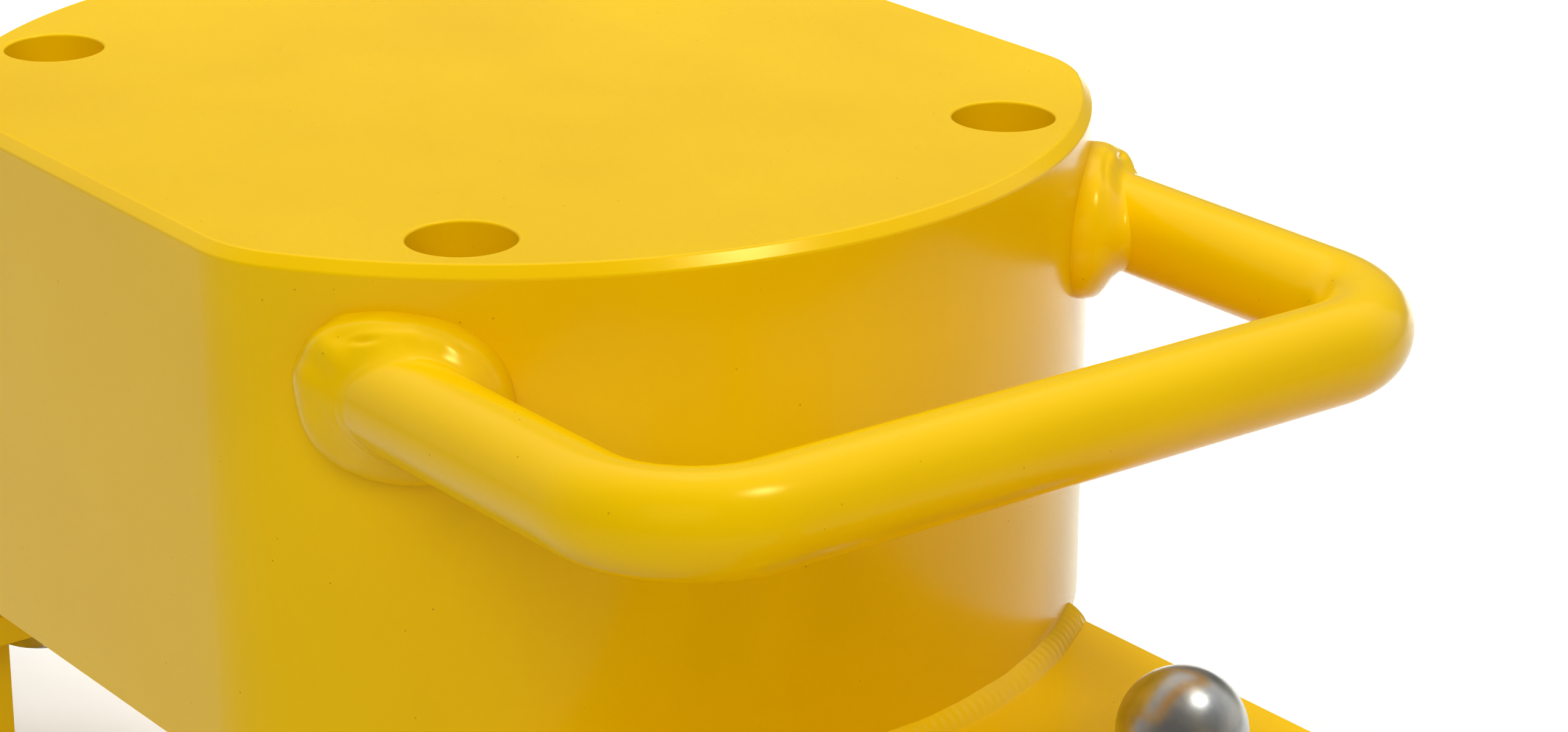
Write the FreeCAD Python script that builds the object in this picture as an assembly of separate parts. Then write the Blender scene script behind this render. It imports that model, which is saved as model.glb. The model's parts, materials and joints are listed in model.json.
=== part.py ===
import FreeCAD, Part
import math
import os

# Compact spreader beam with a central drum, for two load shackles and a two-leg sling.
# Millimetres. +X runs along the beam towards the steering handle, +Z is up, and the
# origin is on the drum's axis at the floor that the rubber pads stand on.

# --- driving dimensions -------------------------------------------------------------

# Heights of the stacked members, from the floor up
PAD_HEIGHT = 10.0
BOX_BOTTOM = 135.0
BOX_HEIGHT = 60.0
FLANGE_THICK = 15.0
DRUM_HEIGHT = 148.0

# Drum: a short round shell with two flats, closed by a thick bolting plate
DRUM_RADIUS = 163.0
DRUM_FLAT = 142.5
DRUM_CORNER = 40.0
DRUM_WALL = 8.0
TOP_PLATE_THICK = 25.0
TOP_CHAMFER = 3.0
DRUM_BASE_THICK = 15.0
DRUM_RIB_THICK = 12.0
BOLT_HOLE_RADIUS = 14.25
BOLT_HOLE_X = 108.0
BOLT_HOLE_Y = 89.0

# Steering handle: one bent tube welded to the drum wall
HANDLE_TUBE_RADIUS = 13.45
HANDLE_TUBE_WALL = 3.2
HANDLE_HALF_WIDTH = 120.0
HANDLE_REACH = 237.0
HANDLE_BEND = 31.0
HANDLE_BELOW_RIM = 29.0
HANDLE_WELD = 12.0

# Beam: a hollow section under a wide flange plate
BEAM_HALF_LENGTH = 430.0
FLANGE_HALF_WIDTH = 105.0
BOX_HALF_WIDTH = 60.0
BOX_WALL = 6.0
END_CAP_THICK = 10.0
GUSSET_THICK = 8.0
GUSSET_STATIONS = (190.0, 345.0)
DRUM_WELD = 7.0

# End lugs: one upright plate through each end of the beam
LUG_THICK = 25.0
LUG_ROOT = 380.0
LUG_HOLE_X = 480.0
SLING_HOLE_Z = 255.0
SLING_HOLE_RADIUS = 14.0
SLING_EYE_RADIUS = 38.0
LOAD_HOLE_Z = 110.0
LOAD_EYE_RADIUS = 36.0
SLING_CHEEK_THICK = 6.0
LOAD_CHEEK_THICK = 3.0
CHEEK_MARGIN = 5.0

# Load shackles: bow pattern with a bolt, nut and split pin
SHACKLE_BAR_RADIUS = 9.5
SHACKLE_PIN_RADIUS = 11.0
SHACKLE_GAP = 32.0
SHACKLE_INSIDE_LENGTH = 71.5
SHACKLE_BOW_INSIDE = 51.0
SHACKLE_EYE_RADIUS = 22.0
SHACKLE_EYE_THICK = 20.0
SHACKLE_SPOT_FACE = 20.0
RUNNING_CLEARANCE = 0.08
SHACKLE_HEAD = 14.0
SHACKLE_NUT = 18.0
SHACKLE_HEX = 32.0
SPLIT_PIN_RADIUS = 2.0

# Storage legs, bolted right through the beam
LEG_X = 246.0
LEG_BOLT_Y = 35.0
LEG_PLATE_LENGTH = 200.0
LEG_PLATE_WIDTH = 70.0
LEG_PLATE_THICK = 10.0
POST_Y = 79.0
POST_SIDE = 40.0
POST_WALL = 4.0
PAD_SIDE = 52.0
LEG_BOLT_RADIUS = 12.0
LEG_HEX = 36.0
LEG_HEAD = 15.0
WASHER_RADIUS = 22.0
WASHER_THICK = 4.0
NUT_HEX_HEIGHT = 19.0
NUT_HEIGHT = 42.0
NUT_DOME_RADIUS = 17.0
SLEEVE_RADIUS = 17.0
THREAD_CLEARANCE = 0.1

# Blank rating plate on the side of the beam
RATING_LENGTH = 90.0
RATING_WIDTH = 42.0
RATING_THICK = 1.5
RATING_RIVET = 2.2
RATING_X = 268.0

# --- levels worked out from them ----------------------------------------------------

BOX_TOP = BOX_BOTTOM + BOX_HEIGHT
FLANGE_TOP = BOX_TOP + FLANGE_THICK
DRUM_TOP = FLANGE_TOP + DRUM_HEIGHT
PLATE_BOTTOM = DRUM_TOP - TOP_PLATE_THICK
HANDLE_Z = DRUM_TOP - TOP_CHAMFER - HANDLE_BELOW_RIM
SHACKLE_EYE_Y = SHACKLE_GAP / 2 + SHACKLE_EYE_THICK / 2

X_AXIS = FreeCAD.Vector(1, 0, 0)
Y_AXIS = FreeCAD.Vector(0, 1, 0)
Z_AXIS = FreeCAD.Vector(0, 0, 1)
ORIGIN = FreeCAD.Vector(0, 0, 0)


# --- small helpers ------------------------------------------------------------------

def point(x, y, z):
    return FreeCAD.Vector(x, y, z)


def block(x0, x1, y0, y1, z0, z1):
    """A box between two corners."""
    return Part.makeBox(x1 - x0, y1 - y0, z1 - z0, point(x0, y0, z0))


def rod(radius, start, end):
    """A round bar from one point to another."""
    along = end.sub(start)
    return Part.makeCylinder(radius, along.Length, start, along)


def tube(outer, inner, start, end):
    """A round tube from one point to another."""
    return rod(outer, start, end).cut(rod(inner, start, end))


def hexagon(across_flats, height, centre, axis):
    """A hexagonal prism on a centre point, standing along an axis."""
    corner = across_flats / math.sqrt(3)
    side = axis.cross(Z_AXIS)
    if side.Length < 0.5:
        side = X_AXIS
    other = axis.cross(side)
    corners = []
    for step in range(7):
        turn = math.radians(60 * step)
        offset = side * (corner * math.cos(turn)) + other * (corner * math.sin(turn))
        corners.append(centre.add(offset))
    return Part.Face(Part.makePolygon(corners)).extrude(axis * height)


def mirrored(shape):
    """The same shape at the other end of the beam."""
    return shape.mirror(ORIGIN, X_AXIS)


def group(shapes):
    return Part.makeCompound(shapes)


def save(name, shape):
    shape.exportStep(os.path.join("parts", name + ".step"))


def save_both_ends(name, shape):
    save(name + "_right", shape)
    save(name + "_left", mirrored(shape))


# --- drum ---------------------------------------------------------------------------

def drum_outline(inset, z0, z1):
    """The drum's outline as a solid: a disc with two flats and eased corners."""
    disc = rod(DRUM_RADIUS - inset, point(0, 0, z0), point(0, 0, z1))
    reach = DRUM_RADIUS
    flat = DRUM_FLAT - inset
    body = disc.common(block(-reach, reach, -flat, flat, z0, z1))
    upright = []
    for edge in body.Edges:
        ends = [vertex.Point for vertex in edge.Vertexes]
        is_upright = len(ends) == 2 and abs(ends[0].z - ends[1].z) > (z1 - z0) / 2
        if is_upright and abs(abs(ends[0].y) - flat) < 0.01:
            upright.append(edge)
    return body.makeFillet(DRUM_CORNER - inset, upright)


def bolt_hole_places():
    return [(sx * BOLT_HOLE_X, sy * BOLT_HOLE_Y) for sx in (-1, 1) for sy in (-1, 1)]


def make_top_plate():
    plate = drum_outline(0, PLATE_BOTTOM, DRUM_TOP)
    rim = [e for e in plate.Edges if all(abs(v.Z - DRUM_TOP) < 0.01 for v in e.Vertexes)]
    plate = plate.makeChamfer(TOP_CHAMFER, rim)
    for x, y in bolt_hole_places():
        plate = plate.cut(rod(BOLT_HOLE_RADIUS, point(x, y, PLATE_BOTTOM - 1), point(x, y, DRUM_TOP + 1)))
    return plate


def make_drum_shell():
    outer = drum_outline(0, FLANGE_TOP, PLATE_BOTTOM)
    return outer.cut(drum_outline(DRUM_WALL, FLANGE_TOP, PLATE_BOTTOM))


def make_drum_base():
    return drum_outline(DRUM_WALL, FLANGE_TOP, FLANGE_TOP + DRUM_BASE_THICK)


def make_drum_ribs():
    """One rib along the beam and two short ones across it, inside the drum."""
    inside = drum_outline(DRUM_WALL, FLANGE_TOP + DRUM_BASE_THICK, PLATE_BOTTOM)
    half = DRUM_RIB_THICK / 2
    z0, z1 = FLANGE_TOP, DRUM_TOP
    reach = DRUM_RADIUS
    long_rib = inside.common(block(-reach, reach, -half, half, z0, z1))
    near_rib = inside.common(block(-half, half, -reach, -half, z0, z1))
    far_rib = inside.common(block(-half, half, half, reach, z0, z1))
    return long_rib, near_rib, far_rib


def make_drum_weld():
    """Fillet bead at the drum's foot, front and back, where it stands on the flange."""
    cone = Part.makeCone(DRUM_RADIUS + DRUM_WELD, DRUM_RADIUS, DRUM_WELD, point(0, 0, FLANGE_TOP), Z_AXIS)
    ring = cone.cut(rod(DRUM_RADIUS, point(0, 0, FLANGE_TOP), point(0, 0, DRUM_TOP)))
    half = FLANGE_HALF_WIDTH - 3
    front = ring.common(block(0, 2 * DRUM_RADIUS, -half, half, FLANGE_TOP, DRUM_TOP))
    return group([front, mirrored(front)])


# --- steering handle ----------------------------------------------------------------

def handle_path():
    """Centre line of the handle: leg, bend, grip bar, bend, leg."""
    side = HANDLE_HALF_WIDTH
    turn_x = HANDLE_REACH - HANDLE_BEND
    turn_y = side - HANDLE_BEND
    slant = HANDLE_BEND * math.sqrt(0.5)
    root = DRUM_RADIUS / 2
    near = [point(root, -side, HANDLE_Z), point(turn_x, -side, HANDLE_Z)]
    near_mid = point(turn_x + slant, -turn_y - slant, HANDLE_Z)
    far_mid = point(turn_x + slant, turn_y + slant, HANDLE_Z)
    bar = [point(HANDLE_REACH, -turn_y, HANDLE_Z), point(HANDLE_REACH, turn_y, HANDLE_Z)]
    far = [point(turn_x, side, HANDLE_Z), point(root, side, HANDLE_Z)]
    edges = [
        Part.LineSegment(near[0], near[1]).toShape(),
        Part.Arc(near[1], near_mid, bar[0]).toShape(),
        Part.LineSegment(bar[0], bar[1]).toShape(),
        Part.Arc(bar[1], far_mid, far[0]).toShape(),
        Part.LineSegment(far[0], far[1]).toShape(),
    ]
    return Part.Wire(edges)


def swept_handle(radius):
    path = handle_path()
    start = path.Vertexes[0].Point
    ring = Part.Wire(Part.makeCircle(radius, start, X_AXIS))
    return path.makePipeShell([ring], True, True)


def make_handle_tube():
    """Hollow tube whose two ends are coped to the drum wall."""
    solid = swept_handle(HANDLE_TUBE_RADIUS)
    hollow = solid.cut(swept_handle(HANDLE_TUBE_RADIUS - HANDLE_TUBE_WALL))
    return hollow.cut(rod(DRUM_RADIUS, point(0, 0, FLANGE_TOP), point(0, 0, DRUM_TOP)))


def make_handle_weld(side):
    """Heavy bead around one handle leg, between the tube and the drum wall."""
    y = side * HANDLE_HALF_WIDTH
    start = point(DRUM_RADIUS / 3, y, HANDLE_Z)
    end = point(DRUM_RADIUS, y, HANDLE_Z)
    collar = rod(HANDLE_TUBE_RADIUS + HANDLE_WELD, start, end)
    z0 = HANDLE_Z - HANDLE_TUBE_RADIUS - 2 * HANDLE_WELD
    z1 = DRUM_TOP
    collar = collar.common(rod(DRUM_RADIUS + HANDLE_WELD, point(0, 0, z0), point(0, 0, z1)))
    collar = collar.cut(rod(DRUM_RADIUS, point(0, 0, z0), point(0, 0, z1)))
    collar = collar.cut(rod(HANDLE_TUBE_RADIUS, start, end))
    return collar


# --- end lugs -----------------------------------------------------------------------

def make_end_lug():
    """Upright plate with a sling eye above the beam and a load eye below it."""
    half = LUG_THICK / 2
    inner = LUG_HOLE_X - LOAD_EYE_RADIUS
    outer = LUG_HOLE_X + LOAD_EYE_RADIUS
    shoulder = SLING_EYE_RADIUS * math.sqrt(0.5)
    outline = [
        (LUG_ROOT, BOX_BOTTOM + BOX_WALL),
        (LUG_ROOT, FLANGE_TOP + 4),
        (LUG_HOLE_X - shoulder, SLING_HOLE_Z + shoulder),
        (LUG_HOLE_X, SLING_HOLE_Z),
        (outer, SLING_HOLE_Z),
        (outer, LOAD_HOLE_Z),
        (inner, LOAD_HOLE_Z),
        (inner, BOX_BOTTOM + BOX_WALL),
    ]
    corners = [point(x, -half, z) for x, z in outline]
    corners.append(corners[0])
    plate = Part.Face(Part.makePolygon(corners)).extrude(point(0, LUG_THICK, 0))
    for z, radius in ((SLING_HOLE_Z, SLING_EYE_RADIUS), (LOAD_HOLE_Z, LOAD_EYE_RADIUS)):
        plate = plate.fuse(rod(radius, point(LUG_HOLE_X, -half, z), point(LUG_HOLE_X, half, z)))
    return plate.removeSplitter()


def lug_bores():
    """The sling bore and the load bore, as cutting tools."""
    reach = LUG_THICK
    bores = []
    for z, radius in ((SLING_HOLE_Z, SLING_HOLE_RADIUS), (LOAD_HOLE_Z, SHACKLE_PIN_RADIUS + RUNNING_CLEARANCE)):
        bores.append(rod(radius, point(LUG_HOLE_X, -reach, z), point(LUG_HOLE_X, reach, z)))
    return bores[0].fuse(bores[1])


def make_lug_cheeks(z, eye_radius, thick):
    """A pair of round cheek plates, one on each face of the lug."""
    half = LUG_THICK / 2
    radius = eye_radius - CHEEK_MARGIN
    pair = []
    for side in (-1, 1):
        start = point(LUG_HOLE_X, side * half, z)
        end = point(LUG_HOLE_X, side * (half + thick), z)
        pair.append(rod(radius, start, end).cut(lug_bores()))
    return group(pair)


def make_end_caps():
    """Two plates that close the hollow section, one on each side of the lug."""
    x0, x1 = BEAM_HALF_LENGTH, BEAM_HALF_LENGTH + END_CAP_THICK
    inner = LUG_THICK / 2
    near = block(x0, x1, -BOX_HALF_WIDTH, -inner, BOX_BOTTOM, BOX_TOP)
    far = block(x0, x1, inner, BOX_HALF_WIDTH, BOX_BOTTOM, BOX_TOP)
    return group([near, far])


# --- beam ---------------------------------------------------------------------------

def leg_bolt_places():
    return [(sx * LEG_X, sy * LEG_BOLT_Y) for sx in (-1, 1) for sy in (-1, 1)]


def leg_bolt_bores(z0, z1):
    """Clearance holes for the through bolts of the storage legs."""
    radius = LEG_BOLT_RADIUS + THREAD_CLEARANCE
    bores = [rod(radius, point(x, y, z0), point(x, y, z1)) for x, y in leg_bolt_places()]
    return group(bores)


def make_flange_plate(lugs):
    half = FLANGE_HALF_WIDTH
    plate = block(-BEAM_HALF_LENGTH, BEAM_HALF_LENGTH, -half, half, BOX_TOP, FLANGE_TOP)
    upright = [e for e in plate.Edges if abs(e.Vertexes[0].Z - e.Vertexes[1].Z) > 1]
    plate = plate.makeFillet(half / 4, upright)
    plate = plate.cut(leg_bolt_bores(BOX_TOP - 1, FLANGE_TOP + 1))
    return plate.cut(lugs)


def make_box_beam(lugs):
    half = BOX_HALF_WIDTH
    inner = half - BOX_WALL
    reach = BEAM_HALF_LENGTH
    box = block(-reach, reach, -half, half, BOX_BOTTOM, BOX_TOP)
    long_edges = [e for e in box.Edges if abs(e.Vertexes[0].X - e.Vertexes[1].X) > reach]
    box = box.makeFillet(BOX_WALL * 1.5, long_edges)
    room = block(-reach, reach, -inner, inner, BOX_BOTTOM + BOX_WALL, BOX_TOP - BOX_WALL)
    box = box.cut(room)
    box = box.cut(leg_bolt_bores(BOX_BOTTOM - 1, BOX_TOP + 1))
    return box.cut(lugs)


def make_flange_gussets():
    """Triangular stiffeners between the flange's overhang and the hollow section."""
    root = BOX_HALF_WIDTH
    tip = FLANGE_HALF_WIDTH - 6
    low = BOX_BOTTOM + 14
    shapes = []
    for x in GUSSET_STATIONS:
        for side in (-1, 1):
            start = x - GUSSET_THICK / 2
            corners = [
                point(start, side * root, BOX_TOP),
                point(start, side * tip, BOX_TOP),
                point(start, side * tip, BOX_TOP - 8),
                point(start, side * root, low),
            ]
            corners.append(corners[0])
            shapes.append(Part.Face(Part.makePolygon(corners)).extrude(X_AXIS * GUSSET_THICK))
    return group(shapes)


# --- storage legs -------------------------------------------------------------------

def make_leg_plate():
    top = BOX_BOTTOM
    half_x, half_y = LEG_PLATE_WIDTH / 2, LEG_PLATE_LENGTH / 2
    plate = block(LEG_X - half_x, LEG_X + half_x, -half_y, half_y, top - LEG_PLATE_THICK, top)
    upright = [e for e in plate.Edges if abs(e.Vertexes[0].Z - e.Vertexes[1].Z) > 1]
    plate = plate.makeFillet(LEG_PLATE_THICK, upright)
    return plate.cut(leg_bolt_bores(top - LEG_PLATE_THICK - 1, top + 1))


def make_leg_posts():
    """Two square posts of hollow section under the leg plate."""
    half, room = POST_SIDE / 2, POST_SIDE / 2 - POST_WALL
    z0, z1 = PAD_HEIGHT, BOX_BOTTOM - LEG_PLATE_THICK
    posts = []
    for side in (-1, 1):
        y = side * POST_Y
        post = block(LEG_X - half, LEG_X + half, y - half, y + half, z0, z1)
        post = post.cut(block(LEG_X - room, LEG_X + room, y - room, y + room, z0 + POST_WALL, z1))
        posts.append(post)
    return group(posts)


def make_foot_pads():
    """Rubber pads under the posts, with eased edges."""
    half = PAD_SIDE / 2
    pads = []
    for side in (-1, 1):
        y = side * POST_Y
        pad = block(LEG_X - half, LEG_X + half, y - half, y + half, 0, PAD_HEIGHT)
        upright = [e for e in pad.Edges if abs(e.Vertexes[0].Z - e.Vertexes[1].Z) > 1]
        pads.append(pad.makeFillet(half / 4, upright))
    return group(pads)


def make_leg_bolts():
    """Hexagon bolts from below the leg plate to inside the domed nuts."""
    seat = BOX_BOTTOM - LEG_PLATE_THICK
    end = FLANGE_TOP + WASHER_THICK + NUT_HEX_HEIGHT + LEG_BOLT_RADIUS / 2
    bolts = []
    for side in (-1, 1):
        y = side * LEG_BOLT_Y
        shank = rod(LEG_BOLT_RADIUS, point(LEG_X, y, seat), point(LEG_X, y, end))
        head = hexagon(LEG_HEX, LEG_HEAD, point(LEG_X, y, seat - LEG_HEAD), Z_AXIS)
        bolts.append(head.fuse(shank))
    return group(bolts)


def make_bolt_sleeves():
    """Spacer tubes that stop the hollow section from being crushed."""
    inner = LEG_BOLT_RADIUS + THREAD_CLEARANCE
    z0, z1 = BOX_BOTTOM + BOX_WALL, BOX_TOP - BOX_WALL
    sleeves = []
    for side in (-1, 1):
        y = side * LEG_BOLT_Y
        sleeves.append(tube(SLEEVE_RADIUS, inner, point(LEG_X, y, z0), point(LEG_X, y, z1)))
    return group(sleeves)


def make_washers():
    inner = LEG_BOLT_RADIUS + THREAD_CLEARANCE
    z0, z1 = FLANGE_TOP, FLANGE_TOP + WASHER_THICK
    washers = []
    for side in (-1, 1):
        y = side * LEG_BOLT_Y
        washers.append(tube(WASHER_RADIUS, inner, point(LEG_X, y, z0), point(LEG_X, y, z1)))
    return group(washers)


def make_domed_nuts():
    """Domed nuts: a hexagon, a short neck and a round cap over a blind thread."""
    seat = FLANGE_TOP + WASHER_THICK
    dome_z = seat + NUT_HEIGHT - NUT_DOME_RADIUS
    blind = seat + NUT_HEX_HEIGHT + LEG_BOLT_RADIUS
    nuts = []
    for side in (-1, 1):
        y = side * LEG_BOLT_Y
        body = hexagon(LEG_HEX, NUT_HEX_HEIGHT, point(LEG_X, y, seat), Z_AXIS)
        neck = rod(NUT_DOME_RADIUS, point(LEG_X, y, seat), point(LEG_X, y, dome_z))
        dome = Part.makeSphere(NUT_DOME_RADIUS, point(LEG_X, y, dome_z))
        nut = body.fuse([neck, dome])
        thread = rod(LEG_BOLT_RADIUS + THREAD_CLEARANCE, point(LEG_X, y, seat - 1), point(LEG_X, y, blind))
        nuts.append(nut.cut(thread))
    return group(nuts)


# --- load shackle -------------------------------------------------------------------

def bow_path():
    """Centre line of the bow: a leg from each eye, tangent to one round bottom."""
    radius = SHACKLE_BOW_INSIDE / 2 + SHACKLE_BAR_RADIUS
    bottom = LOAD_HOLE_Z - SHACKLE_PIN_RADIUS - SHACKLE_INSIDE_LENGTH - SHACKLE_BAR_RADIUS
    centre_z = bottom + radius
    rise = LOAD_HOLE_Z - centre_z
    reach = math.hypot(SHACKLE_EYE_Y, rise)
    lean = math.atan2(SHACKLE_EYE_Y, rise) + math.acos(radius / reach)
    touch_y = radius * math.sin(lean)
    touch_z = centre_z + radius * math.cos(lean)
    x = LUG_HOLE_X
    eye_near, eye_far = point(x, -SHACKLE_EYE_Y, LOAD_HOLE_Z), point(x, SHACKLE_EYE_Y, LOAD_HOLE_Z)
    touch_near, touch_far = point(x, -touch_y, touch_z), point(x, touch_y, touch_z)
    edges = [
        Part.LineSegment(eye_near, touch_near).toShape(),
        Part.Arc(touch_near, point(x, 0, bottom), touch_far).toShape(),
        Part.LineSegment(touch_far, eye_far).toShape(),
    ]
    return Part.Wire(edges)


def make_shackle_bow():
    path = bow_path()
    start = path.Vertexes[0].Point
    direction = path.Vertexes[1].Point.sub(start)
    ring = Part.Wire(Part.makeCircle(SHACKLE_BAR_RADIUS, start, direction))
    bow = path.makePipeShell([ring], True, True)
    half = SHACKLE_EYE_THICK / 2
    for side in (-1, 1):
        middle = side * SHACKLE_EYE_Y
        near, far = middle - half, middle + half
        eye = rod(SHACKLE_EYE_RADIUS, point(LUG_HOLE_X, near, LOAD_HOLE_Z), point(LUG_HOLE_X, far, LOAD_HOLE_Z))
        bow = bow.fuse(eye)
    gap = SHACKLE_GAP / 2
    reach = 2 * SHACKLE_EYE_RADIUS
    slot = block(
        LUG_HOLE_X - reach, LUG_HOLE_X + reach, -gap, gap,
        LOAD_HOLE_Z - SHACKLE_EYE_RADIUS, LOAD_HOLE_Z + reach,
    )
    face, far = pin_reach(), pin_reach() + SHACKLE_EYE_THICK
    bore = rod(
        SHACKLE_PIN_RADIUS + RUNNING_CLEARANCE,
        point(LUG_HOLE_X, -far, LOAD_HOLE_Z),
        point(LUG_HOLE_X, far, LOAD_HOLE_Z),
    )
    bow = bow.cut(slot).cut(bore)
    for side in (-1, 1):
        start, end = point(LUG_HOLE_X, side * face, LOAD_HOLE_Z), point(LUG_HOLE_X, side * far, LOAD_HOLE_Z)
        bow = bow.cut(rod(SHACKLE_SPOT_FACE, start, end))
    return bow


def pin_reach():
    """How far the outer faces of the shackle's eyes stand from its middle."""
    return SHACKLE_GAP / 2 + SHACKLE_EYE_THICK


def make_shackle_pin():
    face = pin_reach()
    tip = face + SHACKLE_NUT + 4 * SPLIT_PIN_RADIUS
    shank = rod(SHACKLE_PIN_RADIUS, point(LUG_HOLE_X, -face, LOAD_HOLE_Z), point(LUG_HOLE_X, tip, LOAD_HOLE_Z))
    head_seat = point(LUG_HOLE_X, -face - SHACKLE_HEAD, LOAD_HOLE_Z)
    head = hexagon(SHACKLE_HEX, SHACKLE_HEAD, head_seat, Y_AXIS)
    hole_y = face + SHACKLE_NUT + 2 * SPLIT_PIN_RADIUS
    reach = 2 * SHACKLE_PIN_RADIUS
    hole = rod(
        SPLIT_PIN_RADIUS + THREAD_CLEARANCE,
        point(LUG_HOLE_X - reach, hole_y, LOAD_HOLE_Z),
        point(LUG_HOLE_X + reach, hole_y, LOAD_HOLE_Z),
    )
    return head.fuse(shank).cut(hole)


def make_shackle_nut():
    face = pin_reach()
    nut = hexagon(SHACKLE_HEX, SHACKLE_NUT, point(LUG_HOLE_X, face, LOAD_HOLE_Z), Y_AXIS)
    start = point(LUG_HOLE_X, face - 1, LOAD_HOLE_Z)
    end = point(LUG_HOLE_X, face + SHACKLE_NUT + 1, LOAD_HOLE_Z)
    return nut.cut(rod(SHACKLE_PIN_RADIUS + THREAD_CLEARANCE, start, end))


def make_split_pin():
    """Split pin through the end of the shackle bolt: a leg with a ring eye."""
    y = pin_reach() + SHACKLE_NUT + 2 * SPLIT_PIN_RADIUS
    reach = SHACKLE_PIN_RADIUS + 3 * SPLIT_PIN_RADIUS
    leg = rod(SPLIT_PIN_RADIUS, point(LUG_HOLE_X - reach, y, LOAD_HOLE_Z), point(LUG_HOLE_X + reach, y, LOAD_HOLE_Z))
    ring_radius = 2.5 * SPLIT_PIN_RADIUS
    ring_x = LUG_HOLE_X + reach + ring_radius
    eye = Part.makeTorus(ring_radius, SPLIT_PIN_RADIUS, point(ring_x, y, LOAD_HOLE_Z), Y_AXIS)
    return leg.fuse(eye)


# --- rating plate -------------------------------------------------------------------

def rating_rivet_places():
    dx = RATING_LENGTH / 2 - 6
    dz = RATING_WIDTH / 2 - 6
    middle = (BOX_BOTTOM + BOX_TOP) / 2
    return [(-RATING_X + sx * dx, middle + sz * dz) for sx in (-1, 1) for sz in (-1, 1)]


def make_rating_plate():
    middle = (BOX_BOTTOM + BOX_TOP) / 2
    x0, x1 = -RATING_X - RATING_LENGTH / 2, -RATING_X + RATING_LENGTH / 2
    z0, z1 = middle - RATING_WIDTH / 2, middle + RATING_WIDTH / 2
    face = -BOX_HALF_WIDTH
    return block(x0, x1, face - RATING_THICK, face, z0, z1)


def make_rating_rivets():
    face = -BOX_HALF_WIDTH - RATING_THICK
    heads = []
    for x, z in rating_rivet_places():
        heads.append(rod(RATING_RIVET, point(x, face - RATING_RIVET / 2, z), point(x, face, z)))
    return group(heads)


# --- build everything ---------------------------------------------------------------

def build():
    os.makedirs("parts", exist_ok=True)

    save("top_plate", make_top_plate())
    save("drum_shell", make_drum_shell())
    save("drum_base", make_drum_base())
    long_rib, near_rib, far_rib = make_drum_ribs()
    save("drum_rib_long", long_rib)
    save("drum_rib_near", near_rib)
    save("drum_rib_far", far_rib)
    save("drum_foot_weld", make_drum_weld())

    save("handle_tube", make_handle_tube())
    save("handle_weld_near", make_handle_weld(-1))
    save("handle_weld_far", make_handle_weld(1))

    lug = make_end_lug()
    lugs = group([lug, mirrored(lug)])
    save("flange_plate", make_flange_plate(lugs))
    save("box_beam", make_box_beam(lugs))
    save_both_ends("end_lug", lug.cut(lug_bores()))
    save_both_ends("sling_cheeks", make_lug_cheeks(SLING_HOLE_Z, SLING_EYE_RADIUS, SLING_CHEEK_THICK))
    save_both_ends("load_cheeks", make_lug_cheeks(LOAD_HOLE_Z, LOAD_EYE_RADIUS, LOAD_CHEEK_THICK))
    save_both_ends("end_caps", make_end_caps())
    save_both_ends("flange_gussets", make_flange_gussets())

    save_both_ends("leg_plate", make_leg_plate())
    save_both_ends("leg_posts", make_leg_posts())
    save_both_ends("foot_pads", make_foot_pads())
    save_both_ends("leg_bolts", make_leg_bolts())
    save_both_ends("bolt_sleeves", make_bolt_sleeves())
    save_both_ends("leg_washers", make_washers())
    save_both_ends("domed_nuts", make_domed_nuts())

    save_both_ends("shackle_bow", make_shackle_bow())
    save_both_ends("shackle_bolt", make_shackle_pin())
    save_both_ends("shackle_nut", make_shackle_nut())
    save_both_ends("split_pin", make_split_pin())

    save("rating_plate", make_rating_plate())
    save("rating_rivets", make_rating_rivets())


build()
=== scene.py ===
import json
import math

import bmesh
import bpy
from mathutils import Matrix, Vector, noise


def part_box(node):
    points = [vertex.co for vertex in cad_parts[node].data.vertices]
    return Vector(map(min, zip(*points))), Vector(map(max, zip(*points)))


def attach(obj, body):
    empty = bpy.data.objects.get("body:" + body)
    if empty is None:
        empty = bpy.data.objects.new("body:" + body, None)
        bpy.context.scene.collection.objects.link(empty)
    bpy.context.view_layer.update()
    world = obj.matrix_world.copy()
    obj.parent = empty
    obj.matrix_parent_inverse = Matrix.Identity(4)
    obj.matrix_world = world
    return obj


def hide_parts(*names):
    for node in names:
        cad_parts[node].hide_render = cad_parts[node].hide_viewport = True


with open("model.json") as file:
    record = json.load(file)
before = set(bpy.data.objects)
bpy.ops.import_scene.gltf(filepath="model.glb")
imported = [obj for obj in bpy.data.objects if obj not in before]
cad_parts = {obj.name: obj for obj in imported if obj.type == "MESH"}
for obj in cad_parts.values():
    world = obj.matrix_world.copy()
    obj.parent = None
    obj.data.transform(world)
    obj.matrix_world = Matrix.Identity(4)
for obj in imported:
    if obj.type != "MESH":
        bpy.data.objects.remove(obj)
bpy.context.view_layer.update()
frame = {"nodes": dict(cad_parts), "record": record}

MM = 0.001

# --- places read from the frame -----------------------------------------------------

DRUM_LOW, DRUM_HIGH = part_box("top_plate")
SHELL_LOW, SHELL_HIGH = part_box("drum_shell")
HANDLE_LOW, HANDLE_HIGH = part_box("handle_tube")
FLANGE_LOW, FLANGE_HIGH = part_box("flange_plate")
BOX_LOW, BOX_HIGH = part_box("box_beam")
LUG_LOW, LUG_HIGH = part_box("end_lug_right")

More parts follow.
